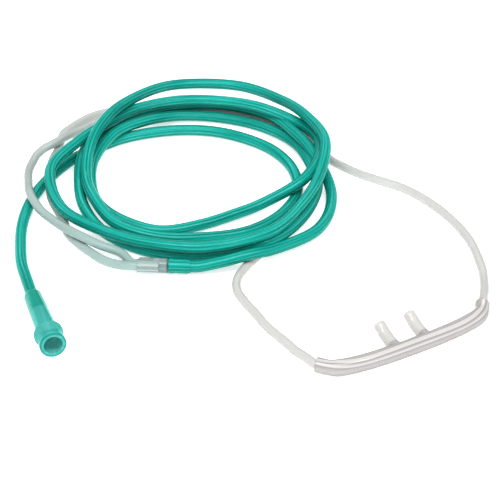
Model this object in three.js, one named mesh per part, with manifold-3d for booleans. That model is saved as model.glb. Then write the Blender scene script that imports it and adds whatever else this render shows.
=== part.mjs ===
// Nasal oxygen cannula: a clear facepiece with two prongs, two thin headset tubes, a junction and a
// green supply tube that lies in a loose coil and ends in a flared connector.
// Millimetres. X runs along the facepiece, Y is the way its prongs point, Z is up from the table.
import * as THREE from "three";
import { mergeVertices } from "three/addons/utils/BufferGeometryUtils.js";
import Module from "manifold-3d";

const wasm = await Module();
wasm.setup();

// Tubes
const SUPPLY_DIAMETER = 6.1;
const HEADSET_DIAMETER = 4.7;
const GAS_LUMEN = 3.2;
const CLEARANCE = 0.3;
const BENT_CLEARANCE = 0.5;
const TAIL_LENGTH = 170;
const SUPPLY_LEAD = 3;
const HEADSET_LEAD = 3;

// Facepiece
const FACE_DIAMETER = 8.4;
const FACE_HALF_LENGTH = 48.5;
const FACE_BOW = 11.3;
const FACE_FRONT = -7.4;
const FACE_SLEEVE_DIAMETER = 7.6;
const FACE_SLEEVE_LENGTH = 9;
const FACE_SOCKET_DEPTH = 8;
// How much of the bow is left at each distance in from the facepiece's end
const FACE_BOW_SHARES = [[0, 1], [6, 0.42], [18, 0.14]];
const PRONG_SPACING = 17.2;
const PRONG_DIAMETER = 6;
const PRONG_LUMEN = 3.2;
const PRONG_REACH = 18.4;
const PRONG_RISE = 4.8;
// How far up a prong has curved at each share of its reach
const PRONG_CURVE_SHARES = [[0, 0], [0.35, 0.1], [0.7, 0.45]];
const ROOT_DIAMETER = 8.2;
const ROOT_LENGTH = 6.5;

// Junction and cuff
const SLEEVE_LENGTH = 11;
const SLEEVE_WALL = 0.5;
const HEADSET_SEAT = 10;
const RING_DIAMETER = 7.6;
const RING_LENGTH = 4.6;
const CUFF_DIAMETER = 7.8;
const CUFF_LENGTH = 11.2;
const CUFF_FLOOR = 2;

// Connector
const CONNECTOR_LENGTH = 46.7;
const SOCKET_DIAMETER = 9.2;
const NECK_DIAMETER = 10.4;
const COLLAR_DIAMETER = 14.6;
const COLLAR_PLACE = 10;
const COLLAR_WIDTH = 3.6;
const MOUTH_DIAMETER = 13.2;
const MOUTH_BORE = 9.2;
const MOUTH_DEPTH = 16;
const SUPPLY_SOCKET_DEPTH = 17.5;

// Number of flat sides around each form
const CORD_SIDES = 8;
const BODY_SIDES = 20;
const CONNECTOR_SIDES = 32;

// Seen from above, the coil is read like a clock face with sixteen bearings. Each pair is the reach
// from the coil's middle and the height of the tube's own middle, one bearing further each time,
// anticlockwise from the side nearest the facepiece.
const COIL_MIDDLE = [-20, 181];
const BEARINGS_PER_TURN = 16;
const FIRST_BEARING = -90;
const COIL_TURNS = [
  [
    [87, 6.2], [86, 3.5], [79, 3.8], [69, 9.8], [66, 10.7], [70, 8.3], [69, 8.2], [67.5, 7.8],
    [69.5, 5], [65, 5.6], [62, 7.3], [61, 3.8], [64.5, 3.2], [70.5, 3.1], [75, 3.1], [78, 4.2],
  ],
  [
    [83.5, 9], [76, 7], [71, 7.8], [65.5, 6.7], [65, 4.8], [64.5, 3.1], [63, 3.2], [62, 4.2],
    [57, 7.6], [55.5, 9], [55.5, 5.1], [54.5, 3.3], [56, 3.1], [56, 3.1], [55.5, 3.1], [48.5, 3.2],
  ],
  [
    [45.5, 3.5], [49.5, 4.9], [64, 11.9], [71.5, 14.6], [74, 10.9], [66, 14.4], [65, 13.1], [64, 13],
    [66.5, 10.8], [62.5, 12.3], [65, 14.2], [76, 13.1], [78, 8.2], [75, 8], [76, 9.2], [80, 10.7],
  ],
  [
    [83.5, 14.8], [74, 12.9], [72, 15.1], [74, 19.9], [73.5, 19.1], [82.5, 12.3], [95, 6.6], [89.5, 8.8],
    [69.5, 16.1], [60, 18.1], [57, 14.7], [57, 9], [59, 8.4], [62.5, 4.9], [62, 3.6], [60.5, 3.1],
  ],
  [
    [62.5, 3.1], [62, 3.1], [60, 3.1], [56, 3.1], [52, 3.1], [48.5, 3.1], [47.5, 3.1], [48, 3.1],
    [51, 3.1],
  ],
];

// The stretch between the junction's cuff and the coil's first bearing
const COIL_LEAD_IN = [[-45.7, 97.2, 6.2], [-37, 94.4, 7.8], [-29.6, 93.4, 7.9]];

// The stretch that leaves the coil under its other turns and ends in the connector
const TAIL_ROUTE = [
  [-35.5, 234, 3.1], [-46.5, 233, 3.1], [-56.5, 231.5, 3.1], [-67, 229, 3.1], [-78.5, 223.5, 3.1],
  [-90, 216, 3.1], [-101, 207, 3.1], [-111.5, 195.5, 3.1], [-121.5, 180.5, 3.1], [-129.5, 164, 3.2],
  [-135, 150.5, 3.3], [-138.5, 137.5, 4],
];

// The junction lies along the table's surface, from the two headset tubes to the supply tube. It is
// rolled about its own length, so one headset tube sits a little higher than the other.
const JUNCTION_START = [-84.3, 119.3];
const JUNCTION_END = [-61.6, 104.3];
const JUNCTION_HEIGHT = 4.1;
const JUNCTION_ROLL = 20;

// The tube that lies outermost on the coil's left side and ends in the facepiece's left socket
const LEFT_HEADSET_ROUTE = [
  [-87.5, 132, 4.8], [-94.5, 142, 6], [-99, 150, 7.1], [-103, 159.5, 7.5], [-105, 168, 6.9],
  [-106.5, 176.5, 6.7], [-108, 185, 7.2], [-108, 193.5, 8.3], [-106.5, 202.5, 8.8], [-102, 214, 7.4],
  [-96.5, 225.5, 6], [-90.5, 233.5, 5.4], [-84.5, 239.5, 5.7], [-79, 241, 7.1], [-73, 241.5, 8],
  [-65, 246, 6.9], [-56.5, 250.5, 4.8], [-47.5, 254.5, 3.4], [-39, 257, 2.7], [-29.5, 257.5, 2.5],
  [-19, 255.5, 2.4], [-8, 252, 2.4], [7.5, 244.5, 2.4], [22, 235.5, 2.4], [35.5, 223.5, 2.4],
  [43.5, 212, 2.4], [48.5, 198.5, 2.4], [50.5, 184.5, 2.4], [48.5, 170.5, 2.4], [44.5, 157.5, 2.4],
  [38.5, 145.5, 2.4], [31, 135, 2.4], [21.5, 125, 2.4], [10, 116, 2.4], [-1.5, 109, 2.4],
  [-12, 104, 2.4], [-23, 99, 2.4], [-31.5, 95, 2.4], [-38, 91, 2.4], [-44, 86.5, 2.4],
  [-48, 81.5, 2.4], [-50.5, 76, 2.4], [-51.5, 70, 2.4], [-52, 62.5, 2.4], [-52, 55.5, 2.4],
  [-52.5, 45.5, 2.4], [-52, 36.5, 2.4], [-51, 28, 2.5], [-50.5, 20, 2.6], [-49.5, 12, 3.6],
];

// The tube that lies against the coil's left side, under it, and ends in the right socket
const RIGHT_HEADSET_ROUTE = [
  [-92.5, 125.5, 3.2], [-97, 133.5, 2.6], [-99.5, 143.5, 2.4], [-101.5, 154, 2.4], [-102, 165, 2.4],
  [-99, 176.5, 2.4], [-97.5, 188.5, 2.8], [-96, 198, 3.7], [-93.5, 205, 5.4], [-91, 211, 7.8],
  [-87, 217.5, 8.7], [-82.5, 225, 8], [-73.5, 239, 3.6], [-68, 247, 2.4], [-61.5, 256, 2.5],
  [-53.5, 260.5, 2.4], [-46, 263.5, 2.4], [-38, 265.5, 2.4], [-30.5, 265.5, 2.4], [-21.5, 263.5, 2.4],
  [-10, 260.5, 2.4], [3.5, 255, 2.4], [16, 248.5, 2.4], [28.5, 240.5, 2.4], [39.5, 230.5, 2.4],
  [47.5, 219.5, 2.4], [53, 206, 2.4], [56, 191, 2.4], [56, 176.5, 2.4], [55.5, 165.5, 2.4],
  [55.5, 156, 2.4], [57.5, 148.5, 2.4], [61.5, 137, 2.4], [67.5, 125.5, 2.4], [73.5, 115, 2.4],
  [77.5, 101.5, 2.4], [79.5, 85.5, 2.4], [79, 69, 2.4], [77, 56, 2.4], [74, 46, 2.4],
  [70.5, 37.5, 2.4], [67, 29.5, 2.4], [62.5, 22, 2.4], [57, 14, 3.2],
];

// The connector's socket end, its heading on the table and the tilt that its wide collar gives it
const CONNECTOR_START = [-142.7, 120.8, 5.5];
const CONNECTOR_HEADING = 258;
const CONNECTOR_TILT = 3.2;

const vectors = (points) => points.map((point) => new THREE.Vector3(...point));

function smooth(points) {
  const curve = new THREE.CatmullRomCurve3(vectors(points));
  curve.arcLengthDivisions = 20 * points.length;
  return curve;
}

// A part of a longer curve, measured along its length
class Stretch extends THREE.Curve {
  constructor(whole, start, end) {
    super();
    this.whole = whole;
    this.start = start;
    this.end = end;
  }

  getPoint(t, target = new THREE.Vector3()) {
    return this.whole.getPointAt(this.start + (this.end - this.start) * t, target);
  }
}

function roundSection(diameter, sides) {
  const points = [];
  for (let i = 0; i < sides; i++) {
    const angle = ((i + 0.5) / sides) * 2 * Math.PI;
    points.push(new THREE.Vector2(Math.cos(angle), Math.sin(angle)).multiplyScalar(diameter / 2));
  }
  return new THREE.Shape(points);
}

function sweep(curve, section, steps) {
  return new THREE.ExtrudeGeometry(section, { extrudePath: curve, steps, bevelEnabled: false });
}

function toSolid(geometry) {
  const bare = geometry.clone();
  bare.deleteAttribute("normal");
  bare.deleteAttribute("uv");
  const merged = mergeVertices(bare, 1e-4);
  const vertProperties = new Float32Array(merged.attributes.position.array);
  const triVerts = new Uint32Array(merged.index.array);
  return new wasm.Manifold(new wasm.Mesh({ numProp: 3, vertProperties, triVerts }));
}

function toGeometry(solid) {
  const mesh = solid.getMesh();
  const geometry = new THREE.BufferGeometry();
  geometry.setAttribute("position", new THREE.BufferAttribute(new Float32Array(mesh.vertProperties), 3));
  geometry.setIndex(new THREE.BufferAttribute(new Uint32Array(mesh.triVerts), 1));
  geometry.computeVertexNormals();
  return geometry;
}

function fuse(geometries) {
  return geometries.map(toSolid).reduce((whole, piece) => whole.add(piece));
}

function cut(solid, geometries) {
  return geometries.map(toSolid).reduce((rest, piece) => rest.subtract(piece), solid);
}

// A turned form whose profile of [radius, distance] pairs runs from start towards heading
function turned(profile, sides, start, heading) {
  const geometry = new THREE.LatheGeometry(profile.map((pair) => new THREE.Vector2(...pair)), sides);
  const turn = new THREE.Quaternion().setFromUnitVectors(new THREE.Vector3(0, 1, 0), heading);
  return geometry.applyQuaternion(turn).translate(start.x, start.y, start.z);
}

function cylinder(diameter, sides, start, heading, from, to) {
  return turned([[0, from], [diameter / 2, from], [diameter / 2, to], [0, to]], sides, start, heading);
}

// Facepiece: a bowed tube with a slightly thinner sleeve at each end, two curved prongs with flared
// roots, and a lumen through all of it
const faceHeight = FACE_DIAMETER / 2;
const faceHalfCurve = FACE_BOW_SHARES.map(([inward, share]) =>
  [FACE_HALF_LENGTH - inward, FACE_FRONT + FACE_BOW * share, faceHeight]);
const faceCurve = smooth([
  ...faceHalfCurve.map(([x, y, z]) => [-x, y, z]),
  [0, FACE_FRONT, faceHeight],
  ...faceHalfCurve.toReversed(),
]);
const faceSteps = 24;

// A prong's axis up to its tip, or past it for the lumen that opens there
function prongCurve(x, end) {
  return smooth([...PRONG_CURVE_SHARES, [end, end]].map(([out, up]) =>
    [x, FACE_FRONT + PRONG_REACH * out, faceHeight + PRONG_RISE * up]));
}

function facepiece() {
  const bore = roundSection(HEADSET_DIAMETER + 2 * BENT_CLEARANCE, BODY_SIDES);
  const sleeveShare = FACE_SLEEVE_LENGTH / faceCurve.getLength();
  const middle = new Stretch(faceCurve, sleeveShare, 1 - sleeveShare);
  const solids = [
    sweep(faceCurve, roundSection(FACE_SLEEVE_DIAMETER, BODY_SIDES), faceSteps),
    sweep(middle, roundSection(FACE_DIAMETER, BODY_SIDES), faceSteps),
  ];
  const lumens = [sweep(faceCurve, bore, faceSteps)];
  const prongSteps = 8;
  const pastTip = 1.08;
  const flare = ROOT_DIAMETER / 2;
  const rootTop = PRONG_DIAMETER / 2;
  const rootProfile = [[0, 0], [flare, 0], [flare, ROOT_LENGTH / 2], [rootTop, ROOT_LENGTH], [0, ROOT_LENGTH]];
  for (const x of [-PRONG_SPACING / 2, PRONG_SPACING / 2]) {
    const root = new THREE.Vector3(x, FACE_FRONT, faceHeight);
    solids.push(sweep(prongCurve(x, 1), roundSection(PRONG_DIAMETER, BODY_SIDES), prongSteps));
    solids.push(turned(rootProfile, BODY_SIDES, root, new THREE.Vector3(0, 1, 0)));
    lumens.push(sweep(prongCurve(x, pastTip), roundSection(PRONG_LUMEN, BODY_SIDES), prongSteps));
  }
  return cut(fuse(solids), lumens);
}

// Points on the facepiece's axis from its end to the bottom of its socket
function faceSocket(end) {
  const depth = FACE_SOCKET_DEPTH / faceCurve.getLength();
  return [0, 0.5, 1].map((share) => faceCurve.getPointAt(Math.abs(end - share * depth)).toArray());
}

// Junction, along its own axis
const junctionStart = new THREE.Vector3(...JUNCTION_START, JUNCTION_HEIGHT);
const junctionHeading = new THREE.Vector3(...JUNCTION_END, JUNCTION_HEIGHT).sub(junctionStart).normalize();
const junctionSide = new THREE.Vector3(-junctionHeading.y, junctionHeading.x, 0).applyAxisAngle(
  junctionHeading,
  -THREE.MathUtils.degToRad(JUNCTION_ROLL),
);
const alongJunction = (distance, aside = 0) =>
  junctionStart.clone().addScaledVector(junctionHeading, distance).addScaledVector(junctionSide, aside);
const junctionLine = (from, to, aside = 0) =>
  new THREE.LineCurve3(alongJunction(from, aside), alongJunction(to, aside));
const tubePitch = (HEADSET_DIAMETER + CLEARANCE) / 2;
const ringEnd = SLEEVE_LENGTH + RING_LENGTH;
const cuffStart = ringEnd + CLEARANCE;
const cuffEnd = cuffStart + CUFF_LENGTH;
const supplySeat = cuffStart + CUFF_FLOOR;

function junction() {
  const bore = HEADSET_DIAMETER + 2 * CLEARANCE;
  const sleeve = roundSection(bore + 2 * SLEEVE_WALL, BODY_SIDES);
  const overlap = 3;
  const overrun = 1;
  const ringStart = SLEEVE_LENGTH - overlap;
  const solids = [-tubePitch, tubePitch].map((aside) => sweep(junctionLine(0, SLEEVE_LENGTH, aside), sleeve, 1));
  solids.push(cylinder(RING_DIAMETER, BODY_SIDES, junctionStart, junctionHeading, ringStart, ringEnd));
  const bores = [-tubePitch, tubePitch].map((aside) =>
    sweep(junctionLine(-overrun, HEADSET_SEAT + CLEARANCE, aside), roundSection(bore, BODY_SIDES), 1));
  const lumenStart = HEADSET_SEAT - overrun;
  const lumenEnd = ringEnd + overrun;
  bores.push(cylinder(GAS_LUMEN, BODY_SIDES, junctionStart, junctionHeading, lumenStart, lumenEnd));
  return cut(fuse(solids), bores);
}

function cuff() {
  const bore = SUPPLY_DIAMETER / 2 + CLEARANCE;
  const outside = CUFF_DIAMETER / 2;
  const lumen = GAS_LUMEN / 2;
  const seat = supplySeat - CLEARANCE;
  const chamfer = (outside - bore) / 2;
  const profile = [
    [lumen, cuffStart], [outside, cuffStart], [outside, cuffEnd - chamfer], [outside - chamfer, cuffEnd],
    [bore, cuffEnd], [bore, seat], [lumen, seat], [lumen, cuffStart],
  ];
  return turned(profile, BODY_SIDES, junctionStart, junctionHeading);
}

// Connector, along its own axis
const connectorStart = new THREE.Vector3(...CONNECTOR_START);
const headingAngle = THREE.MathUtils.degToRad(CONNECTOR_HEADING);
const tiltAngle = THREE.MathUtils.degToRad(CONNECTOR_TILT);
const connectorHeading = new THREE.Vector3(
  Math.cos(headingAngle) * Math.cos(tiltAngle),
  Math.sin(headingAngle) * Math.cos(tiltAngle),
  Math.sin(tiltAngle),
);
const alongConnector = (distance) => connectorStart.clone().addScaledVector(connectorHeading, distance);

function connector() {
  const seat = SUPPLY_DIAMETER / 2 + CLEARANCE;
  const socket = SOCKET_DIAMETER / 2;
  const neck = NECK_DIAMETER / 2;
  const collar = COLLAR_DIAMETER / 2;
  const mouth = MOUTH_DIAMETER / 2;
  const bore = MOUTH_BORE / 2;
  const lumen = GAS_LUMEN / 2;
  const shoulder = 2.4;
  const bevel = 1;
  const lip = 3;
  const taper = 0.4;
  const collarTop = CONNECTOR_LENGTH - COLLAR_PLACE - COLLAR_WIDTH / 2;
  const collarBottom = collarTop + COLLAR_WIDTH;
  const boreFloor = CONNECTOR_LENGTH - MOUTH_DEPTH;
  const profile = [
    [seat, 0],
    [socket - bevel, 0],
    [socket, shoulder],
    [neck, collarTop - bevel],
    [collar - bevel, collarTop],
    [collar, collarTop + bevel],
    [collar, collarBottom - bevel],
    [mouth - bevel / 2, collarBottom + bevel],
    [mouth - bevel / 2, CONNECTOR_LENGTH - lip - bevel],
    [mouth, CONNECTOR_LENGTH - lip],
    [mouth, CONNECTOR_LENGTH],
    [bore, CONNECTOR_LENGTH],
    [bore - taper, boreFloor],
    [lumen, boreFloor - bevel],
    [lumen, SUPPLY_SOCKET_DEPTH],
    [seat, SUPPLY_SOCKET_DEPTH],
    [seat, 0],
  ];
  return turned(profile, CONNECTOR_SIDES, connectorStart, connectorHeading);
}

function coilPoints() {
  return COIL_TURNS.flat().map(([reach, height], i) => {
    const bearing = THREE.MathUtils.degToRad(FIRST_BEARING + (i * 360) / BEARINGS_PER_TURN);
    return [COIL_MIDDLE[0] + reach * Math.cos(bearing), COIL_MIDDLE[1] + reach * Math.sin(bearing), height];
  });
}

// The supply tube's whole route. Its coil and its tail are cut from it, a small gap apart.
const supplyRoute = smooth([
  ...[supplySeat, cuffEnd, cuffEnd + SUPPLY_LEAD].map((distance) => alongJunction(distance).toArray()),
  ...COIL_LEAD_IN,
  ...coilPoints(),
  ...TAIL_ROUTE,
  alongConnector(0).toArray(),
  alongConnector(SUPPLY_SOCKET_DEPTH - CLEARANCE).toArray(),
]);
const tailStart = 1 - TAIL_LENGTH / supplyRoute.getLength();
const coilEnd = tailStart - CLEARANCE / supplyRoute.getLength();
const tailRoute = new Stretch(supplyRoute, tailStart, 1);

const headsetRoute = (aside, points, socket) =>
  smooth([
    ...[HEADSET_SEAT, 0, -HEADSET_LEAD].map((distance) => alongJunction(distance, aside).toArray()),
    ...points,
    ...faceSocket(socket),
  ]);
const leftRoute = headsetRoute(tubePitch, LEFT_HEADSET_ROUTE, 0);
const rightRoute = headsetRoute(-tubePitch, RIGHT_HEADSET_ROUTE, 1);
const headsetSteps = 72;
const tailSteps = 24;

// The coil crosses itself, so it is fused from short stretches. Where the other tubes press against
// it, their own room is cut from it.
function coil() {
  const stretches = 20;
  const stepsPerStretch = 8;
  const overlap = 0.0003;
  const pieces = [];
  for (let i = 0; i < stretches; i++) {
    const start = (coilEnd * i) / stretches;
    const end = Math.min(coilEnd, (coilEnd * (i + 1)) / stretches + overlap);
    const section = roundSection(SUPPLY_DIAMETER, CORD_SIDES);
    pieces.push(sweep(new Stretch(supplyRoute, start, end), section, stepsPerStretch));
  }
  const headsetRoom = roundSection(HEADSET_DIAMETER + 2 * CLEARANCE, CORD_SIDES);
  const tailRoom = roundSection(SUPPLY_DIAMETER + 2 * CLEARANCE, CORD_SIDES);
  return cut(fuse(pieces), [
    sweep(leftRoute, headsetRoom, headsetSteps),
    sweep(rightRoute, headsetRoom, headsetSteps),
    sweep(tailRoute, tailRoom, tailSteps),
  ]);
}

function tube(route, diameter, steps) {
  return toSolid(sweep(route, roundSection(diameter, CORD_SIDES), steps));
}

const clearPlastic = () =>
  new THREE.MeshStandardMaterial({ color: 0xe6ebea, roughness: 0.25, transparent: true, opacity: 0.5 });
const greenPlastic = () => new THREE.MeshStandardMaterial({ color: 0x00a58c, roughness: 0.25 });

const pieces = [
  ["nasal_facepiece", facepiece(), clearPlastic()],
  ["headset_tube_left", tube(leftRoute, HEADSET_DIAMETER, headsetSteps), clearPlastic()],
  ["headset_tube_right", tube(rightRoute, HEADSET_DIAMETER, headsetSteps), clearPlastic()],
  ["headset_junction", junction(), clearPlastic()],
  ["supply_cuff", toSolid(cuff()), greenPlastic()],
  ["supply_coil", coil(), greenPlastic()],
  ["supply_tail", tube(tailRoute, SUPPLY_DIAMETER, tailSteps), greenPlastic()],
  ["supply_connector", toSolid(connector()), greenPlastic()],
];

const cannula = new THREE.Group();
cannula.name = "nasal_oxygen_cannula";
for (const [name, solid, material] of pieces) {
  const mesh = new THREE.Mesh(toGeometry(solid), material);
  mesh.name = name;
  cannula.add(mesh);
}

export default cannula;
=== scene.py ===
"""Nasal oxygen cannula.

A clear pronged facepiece, two headset tubes, a junction and a coiled green supply tube with its connector.
"""
import bmesh
import bpy
import math
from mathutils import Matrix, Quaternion, Vector


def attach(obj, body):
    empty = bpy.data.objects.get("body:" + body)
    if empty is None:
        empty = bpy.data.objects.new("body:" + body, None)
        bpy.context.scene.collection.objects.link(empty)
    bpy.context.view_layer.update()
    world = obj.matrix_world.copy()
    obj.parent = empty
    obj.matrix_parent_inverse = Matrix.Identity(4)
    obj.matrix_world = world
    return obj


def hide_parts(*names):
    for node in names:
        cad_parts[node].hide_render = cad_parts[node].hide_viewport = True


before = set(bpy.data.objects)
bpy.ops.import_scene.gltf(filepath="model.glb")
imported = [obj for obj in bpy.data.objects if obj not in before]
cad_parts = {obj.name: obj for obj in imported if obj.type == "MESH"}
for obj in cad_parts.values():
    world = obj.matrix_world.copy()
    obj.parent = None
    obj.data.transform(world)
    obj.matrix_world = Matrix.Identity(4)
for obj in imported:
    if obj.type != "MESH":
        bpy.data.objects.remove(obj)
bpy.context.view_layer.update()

# Sizes, as in the solids
SUPPLY_RADIUS = 0.00305
HEADSET_RADIUS = 0.00235
FACE_RADIUS = 0.0042
FACE_END_RADIUS = 0.0038
FACE_HALF_LENGTH = 0.0485
FACE_BOW = 0.0113
FACE_FRONT = -0.0074
PRONG_SPACING = 0.0172
PRONG_RADIUS = 0.003
PRONG_LUMEN_RADIUS = 0.0016
GAS_LUMEN_RADIUS = 0.0016
PRONG_REACH = 0.0184
PRONG_RISE = 0.0048
SOCKET_LUMEN_RADIUS = 0.0027
FACE_SOCKET_DEPTH = 0.008
FACE_SLEEVE_LENGTH = 0.0065
SLEEVE_LENGTH = 0.011
SLEEVE_WALL = 0.0005
RING_RADIUS = 0.0038
RING_LENGTH = 0.0046
CUFF_RADIUS = 0.0039
CUFF_LENGTH = 0.0112
CLEARANCE = 0.0003
CONNECTOR_LENGTH = 0.0467
SOCKET_RADIUS = 0.0046
NECK_RADIUS = 0.0052
COLLAR_RADIUS = 0.0073
COLLAR_PLACE = 0.01
COLLAR_WIDTH = 0.0036
MOUTH_RADIUS = 0.0066
MOUTH_BORE_RADIUS = 0.0046
MOUTH_DEPTH = 0.016
SUPPLY_SOCKET_DEPTH = 0.0175

# Routes, repeated from the solids
COIL_MIDDLE = (-0.02, 0.181)
BEARINGS_PER_TURN = 16
FIRST_BEARING = -90
COIL_TURNS = [
    [
        (0.087, 0.0062), (0.086, 0.0035), (0.079, 0.0038), (0.069, 0.0098), (0.066, 0.0107), (0.07, 0.0083),
        (0.069, 0.0082), (0.0675, 0.0078), (0.0695, 0.005), (0.065, 0.0056), (0.062, 0.0073), (0.061, 0.0038),
        (0.0645, 0.0032), (0.0705, 0.0031), (0.075, 0.0031), (0.078, 0.0042),
    ],
    [
        (0.0835, 0.009), (0.076, 0.007), (0.071, 0.0078), (0.0655, 0.0067), (0.065, 0.0048), (0.0645, 0.0031),
        (0.063, 0.0032), (0.062, 0.0042), (0.057, 0.0076), (0.0555, 0.009), (0.0555, 0.0051), (0.0545, 0.0033),
        (0.056, 0.0031), (0.056, 0.0031), (0.0555, 0.0031), (0.0485, 0.0032),
    ],
    [
        (0.0455, 0.0035), (0.0495, 0.0049), (0.064, 0.0119), (0.0715, 0.0146), (0.074, 0.0109), (0.066, 0.0144),
        (0.065, 0.0131), (0.064, 0.013), (0.0665, 0.0108), (0.0625, 0.0123), (0.065, 0.0142), (0.076, 0.0131),
        (0.078, 0.0082), (0.075, 0.008), (0.076, 0.0092), (0.08, 0.0107),
    ],
    [
        (0.0835, 0.0148), (0.074, 0.0129), (0.072, 0.0151), (0.074, 0.0199), (0.0735, 0.0191), (0.0825, 0.0123),
        (0.095, 0.0066), (0.0895, 0.0088), (0.0695, 0.0161), (0.06, 0.0181), (0.057, 0.0147), (0.057, 0.009),
        (0.059, 0.0084), (0.0625, 0.0049), (0.062, 0.0036), (0.0605, 0.0031),
    ],
    [
        (0.0625, 0.0031), (0.062, 0.0031), (0.06, 0.0031), (0.056, 0.0031), (0.052, 0.0031), (0.0485, 0.0031),
        (0.0475, 0.0031), (0.048, 0.0031), (0.051, 0.0031),
    ],
]
COIL_LEAD_IN = [
    (-0.0457, 0.0972, 0.0062), (-0.037, 0.0944, 0.0078), (-0.0296, 0.0934, 0.0079),
]
TAIL_ROUTE = [
    (-0.0355, 0.234, 0.0031), (-0.0465, 0.233, 0.0031), (-0.0565, 0.2315, 0.0031), (-0.067, 0.229, 0.0031),
    (-0.0785, 0.2235, 0.0031), (-0.09, 0.216, 0.0031), (-0.101, 0.207, 0.0031), (-0.1115, 0.1955, 0.0031),
    (-0.1215, 0.1805, 0.0031), (-0.1295, 0.164, 0.0032), (-0.135, 0.1505, 0.0033), (-0.1385, 0.1375, 0.004),
]
LEFT_HEADSET_ROUTE = [
    (-0.0875, 0.132, 0.0048), (-0.0945, 0.142, 0.006), (-0.099, 0.15, 0.0071), (-0.103, 0.1595, 0.0075),
    (-0.105, 0.168, 0.0069), (-0.1065, 0.1765, 0.0067), (-0.108, 0.185, 0.0072), (-0.108, 0.1935, 0.0083),
    (-0.1065, 0.2025, 0.0088), (-0.102, 0.214, 0.0074), (-0.0965, 0.2255, 0.006), (-0.0905, 0.2335, 0.0054),
    (-0.0845, 0.2395, 0.0057), (-0.079, 0.241, 0.0071), (-0.073, 0.2415, 0.008), (-0.065, 0.246, 0.0069),
    (-0.0565, 0.2505, 0.0048), (-0.0475, 0.2545, 0.0034), (-0.039, 0.257, 0.0027), (-0.0295, 0.2575, 0.0025),
    (-0.019, 0.2555, 0.0024), (-0.008, 0.252, 0.0024), (0.0075, 0.2445, 0.0024), (0.022, 0.2355, 0.0024),
    (0.0355, 0.2235, 0.0024), (0.0435, 0.212, 0.0024), (0.0485, 0.1985, 0.0024), (0.0505, 0.1845, 0.0024),
    (0.0485, 0.1705, 0.0024), (0.0445, 0.1575, 0.0024), (0.0385, 0.1455, 0.0024), (0.031, 0.135, 0.0024),
    (0.0215, 0.125, 0.0024), (0.01, 0.116, 0.0024), (-0.0015, 0.109, 0.0024), (-0.012, 0.104, 0.0024),
    (-0.023, 0.099, 0.0024), (-0.0315, 0.095, 0.0024), (-0.038, 0.091, 0.0024), (-0.044, 0.0865, 0.0024),
    (-0.048, 0.0815, 0.0024), (-0.0505, 0.076, 0.0024), (-0.0515, 0.07, 0.0024), (-0.052, 0.0625, 0.0024),
    (-0.052, 0.0555, 0.0024), (-0.0525, 0.0455, 0.0024), (-0.052, 0.0365, 0.0024), (-0.051, 0.028, 0.0025),
    (-0.0505, 0.02, 0.0026), (-0.0495, 0.012, 0.0036),
]
RIGHT_HEADSET_ROUTE = [
    (-0.0925, 0.1255, 0.0032), (-0.097, 0.1335, 0.0026), (-0.0995, 0.1435, 0.0024), (-0.1015, 0.154, 0.0024),
    (-0.102, 0.165, 0.0024), (-0.099, 0.1765, 0.0024), (-0.0975, 0.1885, 0.0028), (-0.096, 0.198, 0.0037),
    (-0.0935, 0.205, 0.0054), (-0.091, 0.211, 0.0078), (-0.087, 0.2175, 0.0087), (-0.0825, 0.225, 0.008),
    (-0.0735, 0.239, 0.0036), (-0.068, 0.247, 0.0024), (-0.0615, 0.256, 0.0025), (-0.0535, 0.2605, 0.0024),
    (-0.046, 0.2635, 0.0024), (-0.038, 0.2655, 0.0024), (-0.0305, 0.2655, 0.0024), (-0.0215, 0.2635, 0.0024),
    (-0.01, 0.2605, 0.0024), (0.0035, 0.255, 0.0024), (0.016, 0.2485, 0.0024), (0.0285, 0.2405, 0.0024),
    (0.0395, 0.2305, 0.0024), (0.0475, 0.2195, 0.0024), (0.053, 0.206, 0.0024), (0.056, 0.191, 0.0024),
    (0.056, 0.1765, 0.0024), (0.0555, 0.1655, 0.0024), (0.0555, 0.156, 0.0024), (0.0575, 0.1485, 0.0024),
    (0.0615, 0.137, 0.0024), (0.0675, 0.1255, 0.0024), (0.0735, 0.115, 0.0024), (0.0775, 0.1015, 0.0024),
    (0.0795, 0.0855, 0.0024), (0.079, 0.069, 0.0024), (0.077, 0.056, 0.0024), (0.074, 0.046, 0.0024),
    (0.0705, 0.0375, 0.0024), (0.067, 0.0295, 0.0024), (0.0625, 0.022, 0.0024), (0.057, 0.014, 0.0032),
]
JUNCTION_START = Vector((-0.0843, 0.1193, 0.0041))
JUNCTION_END = Vector((-0.0616, 0.1043, 0.0041))
CONNECTOR_START = Vector((-0.1427, 0.1208, 0.0055))
CONNECTOR_HEADING = 258
CONNECTOR_TILT = 3.2
SUPPLY_LEAD = 0.003
CORD_STEP = 0.0025
SUPPLY_SIDES = 30
HEADSET_SIDES = 24
SUPPLY_BORE_RADIUS = 0.0019
HEADSET_BORE_RADIUS = 0.0011
FITTED_GAP = 0.0001
HEADSET_LEAD = 0.003
JUNCTION_ROLL = 20

# Camera, at the photograph's angle
CAMERA_TARGET = Vector((-0.0253, 0.107, 0))
CAMERA_AZIMUTH = -30
CAMERA_ELEVATION = 35
CAMERA_DISTANCE = 1.0
METRES_PER_PIXEL = 0.00052
SENSOR_WIDTH = 36
FRAME_PIXELS = 500

FULL_TURN = 2 * math.pi


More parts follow.
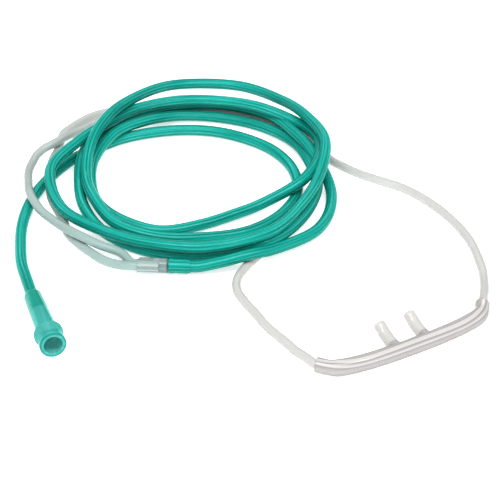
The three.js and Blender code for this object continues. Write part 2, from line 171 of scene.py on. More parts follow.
def make_camera():
    data = bpy.data.cameras.new("camera")
    data.sensor_width = SENSOR_WIDTH
    data.lens = SENSOR_WIDTH * CAMERA_DISTANCE / METRES_PER_PIXEL / FRAME_PIXELS
    data.clip_start = 0.05
    data.clip_end = 20
    camera = bpy.data.objects.new("camera", data)
    bpy.context.scene.collection.objects.link(camera)
    azimuth = math.radians(CAMERA_AZIMUTH)
    elevation = math.radians(CAMERA_ELEVATION)
    back = Vector((
        math.sin(azimuth) * math.cos(elevation),
        -math.cos(azimuth) * math.cos(elevation),
        math.sin(elevation),
    ))
    camera.location = CAMERA_TARGET + back * CAMERA_DISTANCE
    camera.rotation_mode = "QUATERNION"
    camera.rotation_quaternion = (-back).to_track_quat("-Z", "Y")
    bpy.context.scene.camera = camera


# Curves
def catmull_rom(points, per_span):
    """A smooth line through points, centripetal, as the solids' routes are."""
    points = [Vector(p) for p in points]
    ends = [2 * points[0] - points[1]] + points + [2 * points[-1] - points[-2]]
    line = []
    for i in range(len(points) - 1):
        p0, p1, p2, p3 = ends[i : i + 4]
        t1 = (p1 - p0).length ** 0.5
        t2 = t1 + (p2 - p1).length ** 0.5
        t3 = t2 + (p3 - p2).length ** 0.5
        for k in range(per_span):
            t = t1 + (t2 - t1) * k / per_span
            a1 = (t1 - t) / t1 * p0 + t / t1 * p1
            a2 = (t2 - t) / (t2 - t1) * p1 + (t - t1) / (t2 - t1) * p2
            a3 = (t3 - t) / (t3 - t2) * p2 + (t - t2) / (t3 - t2) * p3
            b1 = (t2 - t) / t2 * a1 + t / t2 * a2
            b2 = (t3 - t) / (t3 - t1) * a2 + (t - t1) / (t3 - t1) * a3
            line.append((t2 - t) / (t2 - t1) * b1 + (t - t1) / (t2 - t1) * b2)
    line.append(points[-1])
    return line


def even_steps(line, step):
    """The same line with its points a constant distance apart, and that line's length."""
    reached = [0]
    for a, b in zip(line, line[1:]):
        reached.append(reached[-1] + (b - a).length)
    count = max(2, round(reached[-1] / step))
    even = []
    k = 0
    for i in range(count + 1):
        want = reached[-1] * i / count
        while k < len(line) - 2 and reached[k + 1] < want:
            k += 1
        share = (want - reached[k]) / max(reached[k + 1] - reached[k], 1e-9)
        even.append(line[k].lerp(line[k + 1], min(1, share)))
    return even, reached[-1]


def along(line, distance):
    """The point at that distance from the line's start."""
    for a, b in zip(line, line[1:]):
        span = (b - a).length
        if distance <= span:
            return a.lerp(b, distance / span)
        distance -= span
    return line[-1].copy()


# Mesh making
def new_mesh(name, vertices, faces, uvs=None):
    data = bpy.data.meshes.new(name)
    data.from_pydata([tuple(v) for v in vertices], [], faces)
    data.update()
    if uvs:
        layer = data.uv_layers.new(name="around_along")
        for loop, uv in zip(layer.data, uvs):
            loop.uv = uv
    data.polygons.foreach_set("use_smooth", [True] * len(data.polygons))
    obj = bpy.data.objects.new(name, data)
    bpy.context.scene.collection.objects.link(obj)
    return obj


def section_axes(line):
    """For each point of a line, two directions across it: sideways and upwards."""
    axes = []
    for i in range(len(line)):
        heading = (line[min(i + 1, len(line) - 1)] - line[max(i - 1, 0)]).normalized()
        side = heading.cross(Vector((0, 0, 1))).normalized()
        axes.append((side, side.cross(heading)))
    return axes


class Skin:
    """A mesh that is put together from rings of vertices."""

    def __init__(self):
        self.vertices = []
        self.faces = []
        self.uvs = []

    def rings(self, line, radius, sides, outward=True, shape=None):
        """Adds rings along a line and the faces between them. radius is a number or a function of distance."""
        rings = []
        reached = 0
        for i, (centre, (side, up)) in enumerate(zip(line, section_axes(line))):
            if i:
                reached += (centre - line[i - 1]).length
            r = radius(reached) if callable(radius) else radius
            ring = []
            for k in range(sides):
                angle = FULL_TURN * k / sides
                size = r * (shape(angle, reached) if shape else 1)
                ring.append(len(self.vertices))
                self.vertices.append(centre + side * math.cos(angle) * size + up * math.sin(angle) * size)
            if rings:
                self.join(rings[-1][0], ring, rings[-1][1], reached, outward)
            rings.append((ring, reached))
        return [ring for ring, _ in rings]

    def join(self, a, b, start, end, outward=True):
        sides = len(a)
        for k in range(sides):
            n = (k + 1) % sides
            u0, u1 = k / sides, (k + 1) / sides
            face = [(a[k], u0, start), (b[k], u0, end), (b[n], u1, end), (a[n], u1, start)]
            if outward:
                face.reverse()
            self.faces.append([v for v, _, _ in face])
            self.uvs += [(u, w) for _, u, w in face]

    def cap(self, ring, reverse=False):
        self.faces.append(list(reversed(ring)) if reverse else list(ring))
        self.uvs += [(0.5, 0.5)] * len(ring)

    def mesh(self, name):
        obj = new_mesh(name, self.vertices, self.faces, self.uvs)
        bm = bmesh.new()
        bm.from_mesh(obj.data)
        bmesh.ops.recalc_face_normals(bm, faces=bm.faces)
        bm.to_mesh(obj.data)
        bm.free()
        return obj


def hollow_tube(name, line, radius, lumen, sides, lumen_shape=None):
    """A tube with an open bore, closed into a ring at each end."""
    skin = Skin()
    outer = skin.rings(line, radius, sides)
    inner = skin.rings(line, lumen, sides, outward=False, shape=lumen_shape)
    skin.join(inner[0], outer[0], 0, 0)
    skin.join(outer[-1], inner[-1], 0, 0)
    return skin.mesh(name)


def turned(name, profile, sides, start, heading):
    """A closed turned form: profile is a closed list of (radius, distance along heading)."""
    skin = Skin()
    side = heading.cross(Vector((0, 0, 1))).normalized()
    up = side.cross(heading)
    rings = []
    for radius, distance in profile:
        ring = []
        for k in range(sides):
            angle = FULL_TURN * k / sides
            ring.append(len(skin.vertices))
            across = side * math.cos(angle) + up * math.sin(angle)
            skin.vertices.append(start + heading * distance + across * radius)
        rings.append((ring, distance))
    for (a, start_at), (b, end_at) in zip(rings, rings[1:] + rings[:1]):
        skin.join(a, b, start_at, end_at)
    return skin.mesh(name)


def soften(obj, width, segments=3):
    """Rounds a piece's sharp edges."""
    bevel = obj.modifiers.new("round_edges", "BEVEL")
    bevel.width = width
    bevel.segments = segments
    bevel.limit_method = "ANGLE"
    bevel.angle_limit = math.radians(35)
    apply_modifiers(obj)


def apply_modifiers(obj):
    graph = bpy.context.evaluated_depsgraph_get()
    data = bpy.data.meshes.new_from_object(obj.evaluated_get(graph))
    obj.modifiers.clear()
    obj.data = data
    data.polygons.foreach_set("use_smooth", [True] * len(data.polygons))


def delete(obj):
    bpy.data.objects.remove(obj, do_unlink=True)


def join_meshes(name, objects):
    """One mesh from several closed ones, still overlapping."""
    bm = bmesh.new()
    for obj in objects:
        bm.from_mesh(obj.data)
        delete(obj)
    data = bpy.data.meshes.new(name)
    bm.to_mesh(data)
    bm.free()
    joined = bpy.data.objects.new(name, data)
    bpy.context.scene.collection.objects.link(joined)
    return joined


heading_angle = math.radians(CONNECTOR_HEADING)
tilt_angle = math.radians(CONNECTOR_TILT)
connector_heading = Vector((
    math.cos(heading_angle) * math.cos(tilt_angle),
    math.sin(heading_angle) * math.cos(tilt_angle),
    math.sin(tilt_angle),
))


junction_heading = (JUNCTION_END - JUNCTION_START).normalized()


# Materials
class Plastic:
    """A node material with one Principled shader and short ways to add nodes to it."""

    def __init__(self, name):
        self.material = bpy.data.materials.new(name)
        self.material.use_nodes = True
        self.nodes = self.material.node_tree.nodes
        self.links = self.material.node_tree.links
        self.shader = self.nodes["Principled BSDF"]

    def set(self, **values):
        for socket, value in values.items():
            self.shader.inputs[socket.replace("_", " ")].default_value = value
        return self

    def node(self, kind, inputs=None, **settings):
        node = self.nodes.new(kind)
        for name, value in settings.items():
            setattr(node, name, value)
        for socket, value in (inputs or {}).items():
            if isinstance(value, bpy.types.NodeSocket):
                self.links.new(value, node.inputs[socket])
            else:
                node.inputs[socket].default_value = value
        return node

    def math(self, operation, a, b=0.0, clamp=False):
        node = self.node("ShaderNodeMath", {0: a, 1: b}, operation=operation, use_clamp=clamp)
        return node.outputs[0]

    def past(self, value, edge, sharpness):
        """0 up to an edge and 1 beyond it. The higher the sharpness, the shorter the step."""
        return self.math("MULTIPLY", self.math("SUBTRACT", value, edge), sharpness, clamp=True)

    def scaled(self, value, factor, add=0.0):
        return self.math("ADD", add, self.math("MULTIPLY", value, factor))

    def around_along(self):
        """The place on a tube: its share of the way around, and the distance along it in metres."""
        parts = self.node("ShaderNodeSeparateXYZ", {0: self.node("ShaderNodeUVMap").outputs[0]})
        return parts.outputs[0], parts.outputs[1]

    def ramp(self, value, stops):
        node = self.node("ShaderNodeValToRGB", {0: value})
        elements = node.color_ramp.elements
        while len(elements) < len(stops):
            elements.new(0.5)
        for element, (place, colour) in zip(elements, stops):
            element.position = place
            element.color = colour if len(colour) == 4 else (*colour, 1)
        return node.outputs[0]

    def noise(self, vector, scale, detail=3.0, roughness=0.5):
        inputs = {"Vector": vector, "Scale": scale, "Detail": detail, "Roughness": roughness}
        return self.node("ShaderNodeTexNoise", inputs).outputs[0]

    def place(self, scale=(1, 1, 1)):
        """The place in the object, in metres, stretched by scale."""
        source = self.node("ShaderNodeTexCoord").outputs["Object"]
        return self.node("ShaderNodeVectorMath", {0: source, 1: scale}, operation="MULTIPLY").outputs[0]

    def mix(self, share, a, b):
        node = self.node("ShaderNodeMix", data_type="RGBA")
        for index, value in ((0, share), (6, a), (7, b)):
            if isinstance(value, bpy.types.NodeSocket):
                self.links.new(value, node.inputs[index])
            else:
                node.inputs[index].default_value = value if index == 0 else (*value, 1)
        return node.outputs[2]

    def link(self, value, socket):
        self.links.new(value, self.shader.inputs[socket])

    def bump(self, height, strength, distance):
        inputs = {"Height": height, "Strength": strength, "Distance": distance}
        self.link(self.node("ShaderNodeBump", inputs).outputs[0], "Normal")


def painted_highlight_lines(plastic, around, distance, lines, wander):
    """Painted highlight lines that run along a tube: each is (share of the way around, half width, strength)."""
    slow = plastic.node("ShaderNodeCombineXYZ", {0: distance, 1: 0.0, 2: 0.0}).outputs[0]
    drift = plastic.math("MULTIPLY", plastic.math("SUBTRACT", plastic.noise(slow, 18.0, 1.0), 0.5), wander)
    moved = plastic.math("ADD", around, drift)
    total = None
    for middle, half_width, strength in lines:
        away = plastic.math("ABSOLUTE", plastic.math("SUBTRACT", moved, middle))
        line = plastic.math("SUBTRACT", 1.0, plastic.math("DIVIDE", away, half_width), clamp=True)
        line = plastic.math("MULTIPLY", line, strength)
        total = line if total is None else plastic.math("ADD", total, line)
    return total


def lengthwise(plastic, around, distance, across, along_scale, detail):
    """Noise that is drawn out along a tube."""
    inputs = {0: plastic.math("MULTIPLY", around, across), 1: plastic.math("MULTIPLY", distance, along_scale)}
    return plastic.noise(plastic.node("ShaderNodeCombineXYZ", inputs).outputs[0], 1.0, detail, 0.6)


def shaded_connector(plastic, body, distance, start, heading):
    """The connector's shades: tube-green around the tube's end, a dark rim, and a painted light in the bore, as if
    light came through the translucent wall.
    """
    place = plastic.node("ShaderNodeTexCoord").outputs["Object"]
    away = plastic.node("ShaderNodeVectorMath", {0: place, 1: start}, operation="SUBTRACT").outputs[0]
    aside = plastic.node("ShaderNodeVectorMath", {0: away, 1: heading}, operation="CROSS_PRODUCT").outputs[0]
    radius = plastic.node("ShaderNodeVectorMath", {0: aside}, operation="LENGTH").outputs["Value"]
    past_tube = plastic.past(distance, SUPPLY_SOCKET_DEPTH, 1500.0)
    body = plastic.mix(past_tube, CONNECTOR_GREEN, body)
    # Painted light: the bore is made near white, standing in for light that passes through the wall.
    in_bore = plastic.math("MULTIPLY", plastic.past(radius, MOUTH_BORE_RADIUS, -4000.0), past_tube)
    body = plastic.mix(in_bore, body, PAINTED_BORE_LIGHT)
    at_mouth = plastic.past(distance, CONNECTOR_LENGTH - 0.0006, 4000.0)
    at_rim = plastic.past(radius, MOUTH_BORE_RADIUS + 0.0008, 1200.0)
    return plastic.mix(plastic.math("MULTIPLY", at_mouth, at_rim), body, RIM_DARK)


def green_vinyl(name, deep, bright, light, lines, transmission, turned_about=None):
    """Green translucent PVC: darker and brighter lengthwise bands of the lumen's star, fine drawn grain. Given
    lines, it also gets painted highlight lines along the tube and a painted shade on its underside, as if lit from
    above.
    """
    plastic = Plastic(name)
    around, distance = plastic.around_along()
    streaks = lengthwise(plastic, around, distance, 14.0, 12.0, 4.0)
    clouds = plastic.noise(plastic.place(), 45.0, 2.0)
    body = plastic.ramp(streaks, [(0.34, deep), (0.5, bright), (0.64, light)])
    body = plastic.mix(plastic.math("MULTIPLY", clouds, 0.35), body, deep)
    if lines:
        # Painted shade: the lower side of the tube is darkened, as if lit from above.
        upward = plastic.math("SINE", plastic.math("MULTIPLY", around, FULL_TURN))
        painted_underside_shade = plastic.past(upward, 0.35 / 0.6, -0.6)
        body = plastic.mix(painted_underside_shade, body, PAINTED_UNDERSIDE_SHADE)
        # Painted highlights: pale mint lines along the tube, broken up by sparkle and patches, stand in for light
        # caught in the lumen's star.
        drawn = painted_highlight_lines(plastic, around, distance, lines, 0.05)
        highlight_sparkle = lengthwise(plastic, around, distance, 8.0, 420.0, 2.0)
        drawn = plastic.math("MULTIPLY", drawn, plastic.scaled(highlight_sparkle, 0.9, 0.5))
        highlight_patches = plastic.past(clouds, 0.25, 2.0)
        body = plastic.mix(plastic.math("MULTIPLY", drawn, highlight_patches, clamp=True), body, PAINTED_LINE_HIGHLIGHT)
    if turned_about:
        body = shaded_connector(plastic, body, distance, *turned_about)
    plastic.link(body, "Base Color")
    grain = plastic.noise(plastic.place(), 900.0, 3.0)
    plastic.link(plastic.scaled(grain, 0.14, 0.16), "Roughness")
    plastic.bump(plastic.math("ADD", streaks, plastic.scaled(grain, 0.25)), 0.18, 0.00025)
    plastic.set(IOR=1.45, Transmission_Weight=transmission, Specular_Tint=(0.5, 1, 0.95, 1))
    plastic.set(Coat_Weight=1.0, Coat_Roughness=0.08, Coat_IOR=1.06, Coat_Tint=(0.45, 0.88, 0.85, 1))
    return plastic.material


def clear_vinyl(name, base, tint, transmission, roughness, green_light_from=None, highlight_banded=False, sleeves=False):
    """Clear PVC with a faint haze and fine grain. Beyond a given distance along it, it takes a painted green light
    from the green tube beside it.
    """
    plastic = Plastic(name)
    around, distance = plastic.around_along()
    haze = plastic.noise(plastic.place(), 160.0, 3.0)
    body = plastic.mix(haze, base, tint)
    if green_light_from:
        # Painted light: green from the nearby green tube, laid into the clear tube's colour.
        share = plastic.past(distance, green_light_from, 5.0)
        body = plastic.mix(plastic.math("MULTIPLY", share, 0.85), body, PAINTED_GREEN_LIGHT)
    if highlight_banded:
        bands, share = face_highlight_bands(plastic)
        body = plastic.mix(share, body, bands)
    if sleeves:
        body = junction_highlights_and_ring(plastic, body)
    streaks = lengthwise(plastic, around, distance, 10.0, 20.0, 3.0)
    body = plastic.mix(plastic.math("MULTIPLY", streaks, 0.25), body, PALE_STREAK)
    plastic.link(body, "Base Color")
    grain = plastic.noise(plastic.place(), 1100.0, 3.0)
    plastic.link(plastic.scaled(grain, 0.12, roughness), "Roughness")
    plastic.bump(plastic.math("ADD", streaks, plastic.scaled(grain, 0.2)), 0.12, 0.0002)
    plastic.set(IOR=1.45, Transmission_Weight=transmission)
    plastic.set(Coat_Weight=1.0, Coat_Roughness=0.08, Coat_IOR=1.06, Coat_Tint=(0.84, 0.83, 0.82, 1))
    return plastic.material


def junction_highlights_and_ring(plastic, body):
    """The junction's tones: pale painted highlight lines along its sleeves, set by height and darker towards the
    bottom, and a greyer ring with a dark end.
    """
    place = plastic.node("ShaderNodeTexCoord").outputs["Object"]
    height = plastic.node("ShaderNodeSeparateXYZ", {0: place}).outputs[2]
    # Painted highlights: pale lines by height where the tubes inside the sleeves catch the light.
    lines = plastic.ramp(plastic.math("DIVIDE", height, 2 * JUNCTION_START.z), SLEEVE_HIGHLIGHT_TONES)
    body = plastic.mix(0.75, body, lines)
    away = plastic.node("ShaderNodeVectorMath", {0: place, 1: JUNCTION_START}, operation="SUBTRACT").outputs[0]
    reach = plastic.node("ShaderNodeVectorMath", {0: away, 1: junction_heading}, operation="DOT_PRODUCT")
    past_sleeve = plastic.math("SUBTRACT", reach.outputs["Value"], SLEEVE_LENGTH)
    in_ring = plastic.past(past_sleeve, 0.0, 3000.0)
    body = plastic.mix(plastic.math("MULTIPLY", in_ring, 0.6), body, RING_GREY)
    at_end = plastic.past(past_sleeve, RING_LENGTH - 0.001, 3000.0)
    return plastic.mix(at_end, body, RING_END)


def face_highlight_bands(plastic):
    """Lengthwise bands on the facepiece, by the angle about its bowed axis, and their share off the prongs: white
    painted highlight strips, with darker lines for the walls of the lumen between.
    """
    parts = plastic.node("ShaderNodeSeparateXYZ", {0: plastic.node("ShaderNodeTexCoord").outputs["Object"]})
    x, y, z = parts.outputs
    share = plastic.math("DIVIDE", plastic.math("ABSOLUTE", x), FACE_HALF_LENGTH)
    bow = plastic.math("MULTIPLY", plastic.math("POWER", share, 5.0), FACE_BOW)
    back = plastic.math("SUBTRACT", plastic.math("SUBTRACT", y, FACE_FRONT), bow)
    angle = plastic.math("ARCTAN2", plastic.math("SUBTRACT", z, FACE_RADIUS), back)
    turn = plastic.math("FRACT", plastic.math("ADD", plastic.math("DIVIDE", angle, FULL_TURN), 1.0))
    # Painted highlights: the white tones are highlight strips; the darker tones are lines of the lumen's walls.
    bands = plastic.ramp(turn, [(place, (tone, tone * 0.985, tone * 0.97)) for place, tone in FACE_HIGHLIGHT_TONES])
    off_prongs = plastic.past(back, 0.0052, -2000.0)
    return bands, plastic.math("MULTIPLY", off_prongs, 0.85)


# Painted highlight colour of the green tube's lengthwise lines.
PAINTED_LINE_HIGHLIGHT = (0.30, 1.0, 0.92)
# Painted shade colour of the green tube's underside.
PAINTED_UNDERSIDE_SHADE = (0.0, 0.2, 0.15)
CONNECTOR_GREEN = (0.0, 0.37, 0.28)
# Painted light colour of the connector's bore.
PAINTED_BORE_LIGHT = (0.95, 1.0, 1.0)
RIM_DARK = (0.0, 0.3, 0.27)
# Painted green light on the clear tubes, from the green tube beside them.
PAINTED_GREEN_LIGHT = (0.32, 0.62, 0.59)
PALE_STREAK = (0.9, 0.9, 0.9)
RING_GREY = (0.10, 0.22, 0.22)
RING_END = (0.03, 0.10, 0.10)
# Painted highlight tones of the junction's sleeves, by height, darker towards the bottom.
SLEEVE_HIGHLIGHT_TONES = [
    (0.3, (0.16, 0.32, 0.32)), (0.5, (0.30, 0.46, 0.45)), (0.55, (0.8, 0.86, 0.85)), (0.58, (0.8, 0.86, 0.85)),
    (0.63, (0.18, 0.33, 0.32)), (0.8, (0.26, 0.42, 0.41)), (0.86, (0.8, 0.86, 0.85)), (0.9, (0.4, 0.56, 0.55)),
]
# Painted highlight tones of the facepiece, with darker lumen lines, by share of the turn about its axis.
FACE_HIGHLIGHT_TONES = [
    (0.1, 0.5), (0.19, 0.66), (0.25, 0.4), (0.262, 1.0), (0.335, 1.0), (0.348, 0.3), (0.38, 0.66), (0.4, 1.0),
    (0.42, 1.0), (0.432, 0.4), (0.5, 0.68), (0.56, 0.4), (0.6, 0.62), (1.0, 0.5),
]

# Painted highlight lines around the green tube: (share of the way around, half width, strength).
TUBE_HIGHLIGHT_LINES = [(k / 11 + 0.04, 0.018 + 0.006 * (k % 3), 0.7 + 0.3 * (k % 2)) for k in range(11)]
green_tube = green_vinyl(
    "green_vinyl", (0.0, 0.27, 0.215), (0.0, 0.50, 0.42), (0.03, 0.78, 0.68), TUBE_HIGHLIGHT_LINES, 0.35,
)
green_connector = green_vinyl(
    "connector_vinyl", (0.14, 0.40, 0.37), (0.22, 0.50, 0.465), (0.30, 0.60, 0.56), [], 0.12,
    (CONNECTOR_START, connector_heading),
)
clear_tube = clear_vinyl(
    "clear_tube_vinyl", (0.88, 0.89, 0.88), (0.78, 0.80, 0.79), 0.25, 0.18, green_light_from=0.33,
)
clear_facepiece = clear_vinyl(
    "clear_facepiece_vinyl", (0.96, 0.96, 0.95), (0.88, 0.88, 0.87), 0.3, 0.06, highlight_banded=True,
)
clear_sleeve = clear_vinyl(
    "clear_sleeve_vinyl", (0.30, 0.46, 0.45), (0.1, 0.26, 0.27), 0.15, 0.14, sleeves=True,
)


def finish_piece(obj, material, slot, *nodes):
    obj.data.materials.clear()
    obj.data.materials.append(material)
    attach(obj, "root")
    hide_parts(*nodes)
    return obj


# Camera, then the cords
make_camera()

junction_side = Vector((-junction_heading.y, junction_heading.x, 0))
junction_side.rotate(Quaternion(junction_heading, -math.radians(JUNCTION_ROLL)))
cuff_start = SLEEVE_LENGTH + RING_LENGTH + CLEARANCE
cuff_end = cuff_start + CUFF_LENGTH
headset_seat = SLEEVE_LENGTH - 0.001
supply_seat = cuff_start + 0.002
tube_pitch = HEADSET_RADIUS + CLEARANCE / 2


def along_junction(distance, aside=0.0):
    return JUNCTION_START + junction_heading * distance + junction_side * aside


def along_connector(distance):
    return CONNECTOR_START + connector_heading * distance


face_end_y = FACE_FRONT + FACE_BOW
face_points = [
    (-FACE_HALF_LENGTH, face_end_y, FACE_RADIUS),
    (-FACE_HALF_LENGTH + 0.006, FACE_FRONT + 0.0048, FACE_RADIUS),
    (-FACE_HALF_LENGTH + 0.018, FACE_FRONT + 0.0016, FACE_RADIUS),
    (0, FACE_FRONT, FACE_RADIUS),
    (FACE_HALF_LENGTH - 0.018, FACE_FRONT + 0.0016, FACE_RADIUS),
    (FACE_HALF_LENGTH - 0.006, FACE_FRONT + 0.0048, FACE_RADIUS),
    (FACE_HALF_LENGTH, face_end_y, FACE_RADIUS),
]
face_line, face_length = even_steps(catmull_rom(face_points, 40), 0.0008)


def face_socket(reverse):
    line = face_line[::-1] if reverse else face_line
    return [along(line, FACE_SOCKET_DEPTH * share) for share in (0, 0.5, 1)]


def resting(line, radius):
    """The same line, nowhere lower than a tube of that radius can lie."""
    return [Vector((p.x, p.y, max(p.z, radius))) for p in line]


def coil_points():
    points = []
    for i, (reach, height) in enumerate(pair for turn in COIL_TURNS for pair in turn):
        bearing = math.radians(FIRST_BEARING + i * 360 / BEARINGS_PER_TURN)
        x = COIL_MIDDLE[0] + reach * math.cos(bearing)
        y = COIL_MIDDLE[1] + reach * math.sin(bearing)
        points.append((x, y, height))
    return points


supply_points = [along_junction(d) for d in (supply_seat, cuff_end, cuff_end + SUPPLY_LEAD)]
supply_points += COIL_LEAD_IN + coil_points() + TAIL_ROUTE
supply_points += [along_connector(0), along_connector(SUPPLY_SOCKET_DEPTH - CLEARANCE)]
supply_line, supply_length = even_steps(resting(catmull_rom(supply_points, 24), SUPPLY_RADIUS), CORD_STEP)


def headset_line(aside, route, reverse):
    points = [along_junction(d, aside) for d in (headset_seat, 0, -HEADSET_LEAD)]
    smooth_line = catmull_rom(points + route + face_socket(reverse), 20)
    line, length = even_steps(resting(smooth_line, HEADSET_RADIUS), CORD_STEP)
    return line[::-1], length


left_line, left_length = headset_line(tube_pitch, LEFT_HEADSET_ROUTE, False)
right_line, right_length = headset_line(-tube_pitch, RIGHT_HEADSET_ROUTE, True)


# Supply tube, with its star-shaped lumen
def star(angle, distance):
    return 1 + 0.16 * math.cos(5 * angle)


supply = hollow_tube("supply_tube", supply_line, SUPPLY_RADIUS, SUPPLY_BORE_RADIUS, SUPPLY_SIDES, star)
finish_piece(supply, green_tube, "green_tube", "supply_coil", "supply_tail")

left_tube = hollow_tube("headset_left", left_line, HEADSET_RADIUS, HEADSET_BORE_RADIUS, HEADSET_SIDES)
finish_piece(left_tube, clear_tube, "clear_tube", "headset_tube_left")
right_tube = hollow_tube("headset_right", right_line, HEADSET_RADIUS, HEADSET_BORE_RADIUS, HEADSET_SIDES)
finish_piece(right_tube, clear_tube, "clear_tube", "headset_tube_right")


# Facepiece
def face_radius(distance):
    """Narrower in the two end sleeves that grip the headset tubes, with a short taper between."""
    from_end = min(distance, face_length - distance)
    if from_end < FACE_SLEEVE_LENGTH:
        return FACE_END_RADIUS
    return FACE_END_RADIUS + (FACE_RADIUS - FACE_END_RADIUS) * min(1, (from_end - FACE_SLEEVE_LENGTH) / 0.004)


def lumen_radius(distance):
    from_end = min(distance, face_length - distance)
    if from_end < FACE_SOCKET_DEPTH + CLEARANCE:
        return HEADSET_RADIUS + FITTED_GAP
    return SOCKET_LUMEN_RADIUS


def prong_radius(distance):
    """Flared at the root and rounded at the tip."""
    flare = max(0.0, 1 - distance / 0.0085)
    tip = max(0.0, (distance - 0.0178) / 0.002)
    return PRONG_RADIUS + 0.0001 + 0.001 * flare * flare - 0.0009 * min(1, tip) ** 2


def prong_line(x, share):
    points = [
        (x, FACE_FRONT, FACE_RADIUS),
        (x, FACE_FRONT + PRONG_REACH * 0.35, FACE_RADIUS + PRONG_RISE * 0.1),
        (x, FACE_FRONT + PRONG_REACH * 0.7, FACE_RADIUS + PRONG_RISE * 0.45),
        (x, FACE_FRONT + PRONG_REACH * share, FACE_RADIUS + PRONG_RISE * share),
    ]
    return even_steps(catmull_rom(points, 20), 0.0006)[0]


def solid_tube(name, line, radius, sides):
    skin = Skin()
    rings = skin.rings(line, radius, sides)
    skin.cap(rings[0], reverse=True)
    skin.cap(rings[-1])
    return skin.mesh(name)


def boolean(obj, cutter, operation="DIFFERENCE"):
    modifier = obj.modifiers.new("cut", "BOOLEAN")
    modifier.object = cutter
    modifier.operation = operation
    modifier.solver = "EXACT"
    apply_modifiers(obj)
    delete(cutter)


def make_facepiece():
    parts = [solid_tube("face_body", face_line, face_radius, 40)]
    for side in (-1, 1):
        parts.append(solid_tube("prong", prong_line(side * PRONG_SPACING / 2, 1), prong_radius, 32))
    piece = join_meshes("facepiece", parts)
    remesh = piece.modifiers.new("one_skin", "REMESH")
    remesh.mode = "VOXEL"
    remesh.voxel_size = 0.00036
    smoothing = piece.modifiers.new("fillets", "SMOOTH")
    smoothing.factor = 0.5
    smoothing.iterations = 5
    apply_modifiers(piece)
    lumen_line, _ = even_steps(face_line, 0.0016)
    lumens = [solid_tube("lumen", lumen_line, lumen_radius, 28)]
    for side in (-1, 1):
        lumens.append(solid_tube("prong_lumen", prong_line(side * PRONG_SPACING / 2, 1.1), PRONG_LUMEN_RADIUS, 24))
    first = lumens[0]
    for other in lumens[1:]:
        boolean(first, other, "UNION")
    boolean(piece, first)
    return piece


facepiece = make_facepiece()
finish_piece(facepiece, clear_facepiece, "clear_facepiece", "nasal_facepiece")


# Junction: two sleeves side by side that run into one hard ring
def make_junction():
    sleeve = HEADSET_RADIUS + CLEARANCE + SLEEVE_WALL
    parts = []
    for aside in (-tube_pitch, tube_pitch):
        line = [along_junction(SLEEVE_LENGTH * i / 20, aside) for i in range(21)]
        parts.append(solid_tube("sleeve", line, sleeve, 32))
    ring_start = SLEEVE_LENGTH - 0.003
    ring_end = cuff_start - CLEARANCE
    line = [along_junction(ring_start + (ring_end - ring_start) * i / 16) for i in range(17)]
    parts.append(solid_tube("ring", line, RING_RADIUS, 40))
    piece = join_meshes("junction", parts)
    remesh = piece.modifiers.new("one_skin", "REMESH")
    remesh.mode = "VOXEL"
    remesh.voxel_size = 0.00025
    smoothing = piece.modifiers.new("fillets", "SMOOTH")
    smoothing.factor = 0.5
    smoothing.iterations = 5
    apply_modifiers(piece)
    for aside in (-tube_pitch, tube_pitch):
        line = [along_junction(-0.001 + (headset_seat + 0.001) * i / 8, aside) for i in range(9)]
        boolean(piece, solid_tube("bore", line, HEADSET_RADIUS + 0.00005, 28))
    line = [along_junction(headset_seat - 0.001), along_junction(cuff_start + 0.001)]
    boolean(piece, solid_tube("gas_way", line, GAS_LUMEN_RADIUS, 24))
    return piece


junction = make_junction()
finish_piece(junction, clear_sleeve, "clear_sleeve", "headset_junction")


# Cuff
def make_cuff():
    bore = SUPPLY_RADIUS + FITTED_GAP
    seat = supply_seat - CLEARANCE
    profile = [
        (GAS_LUMEN_RADIUS, cuff_start),
        (CUFF_RADIUS, cuff_start),
        (CUFF_RADIUS, cuff_start + 0.0015),
        (CUFF_RADIUS - 0.0002, cuff_start + 0.003),
        (CUFF_RADIUS - 0.0001, cuff_end - 0.002),
        (CUFF_RADIUS - 0.0006, cuff_end),
        (bore, cuff_end),
        (bore, seat),
        (GAS_LUMEN_RADIUS, seat),
    ]
    piece = turned("cuff", profile, 48, JUNCTION_START, junction_heading)
    soften(piece, 0.00018)
    return piece


cuff = make_cuff()
finish_piece(cuff, green_tube, "green_tube", "supply_cuff")


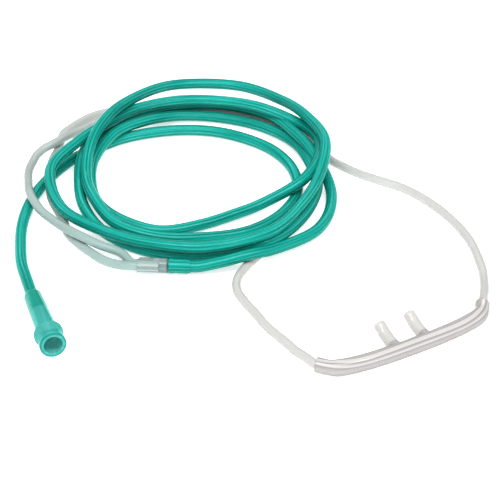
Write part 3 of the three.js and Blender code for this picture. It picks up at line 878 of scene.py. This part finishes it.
# Connector
def make_connector():
    end = CONNECTOR_LENGTH
    seat = SUPPLY_RADIUS + FITTED_GAP
    collar_top = end - COLLAR_PLACE - COLLAR_WIDTH / 2
    collar_bottom = collar_top + COLLAR_WIDTH
    profile = [
        (seat, 0), (SOCKET_RADIUS - 0.001, 0), (SOCKET_RADIUS, 0.0024), (NECK_RADIUS, collar_top - 0.001),
        (COLLAR_RADIUS - 0.001, collar_top), (COLLAR_RADIUS, collar_top + 0.001),
        (COLLAR_RADIUS, collar_bottom - 0.001), (MOUTH_RADIUS - 0.0005, collar_bottom + 0.001),
        (MOUTH_RADIUS - 0.0005, end - 0.004), (MOUTH_RADIUS, end - 0.003), (MOUTH_RADIUS, end),
        (MOUTH_BORE_RADIUS, end), (MOUTH_BORE_RADIUS - 0.0004, end - MOUTH_DEPTH),
        (GAS_LUMEN_RADIUS, end - MOUTH_DEPTH - 0.001), (GAS_LUMEN_RADIUS, SUPPLY_SOCKET_DEPTH),
        (seat, SUPPLY_SOCKET_DEPTH),
    ]
    piece = turned("connector", profile, 72, CONNECTOR_START, connector_heading)
    soften(piece, 0.0005, 4)
    return piece


connector = make_connector()
finish_piece(connector, green_connector, "green_connector", "supply_connector")


# Floor and light
def make_floor():
    floor = new_mesh("floor", [(-3, -3, 0), (3, -3, 0), (3, 3, 0), (-3, 3, 0)], [(0, 1, 2, 3)])
    paper = Plastic("floor_paper")
    fleck = paper.noise(paper.place(), 30.0, 2.0)
    paper.link(paper.mix(fleck, (0.98, 0.98, 0.98), (0.96, 0.96, 0.96)), "Base Color")
    paper.set(Roughness=0.9, Emission_Color=(1, 1, 1, 1), Emission_Strength=0.6)
    floor.data.materials.append(paper.material)


def make_light(name, place, aim, width, height, power):
    data = bpy.data.lights.new(name, "AREA")
    data.shape = "RECTANGLE"
    data.size = width
    data.size_y = height
    data.energy = power
    light = bpy.data.objects.new(name, data)
    light.location = place
    light.rotation_mode = "QUATERNION"
    light.rotation_quaternion = (Vector(aim) - Vector(place)).to_track_quat("-Z", "Y")
    bpy.context.scene.collection.objects.link(light)


def make_world():
    world = bpy.data.worlds.new("studio")
    world.use_nodes = True
    world.node_tree.nodes["Background"].inputs[0].default_value = (1, 1, 1, 1)
    world.node_tree.nodes["Background"].inputs[1].default_value = 0.7
    bpy.context.scene.world = world
    bpy.context.scene.view_settings.view_transform = "Standard"


make_floor()
make_world()
LIGHT_AIM = Vector((-0.03, 0.13, 0))


def strip(name, azimuth, elevation, distance, length, width, power):
    """A long soft light that lies across its own direction, seen from the object."""
    turn, lift = math.radians(azimuth), math.radians(elevation)
    away = Vector((math.sin(turn) * math.cos(lift), -math.cos(turn) * math.cos(lift), math.sin(lift)))
    make_light(name, LIGHT_AIM + away * distance, LIGHT_AIM, length, width, power)


strip("overhead_strip", CAMERA_AZIMUTH, 72, 1.2, 1.5, 0.22, 12)
strip("front_strip", CAMERA_AZIMUTH, 12, 1.4, 1.3, 0.08, 1.5)
strip("far_strip", CAMERA_AZIMUTH + 180, 38, 1.3, 1.5, 0.08, 2)
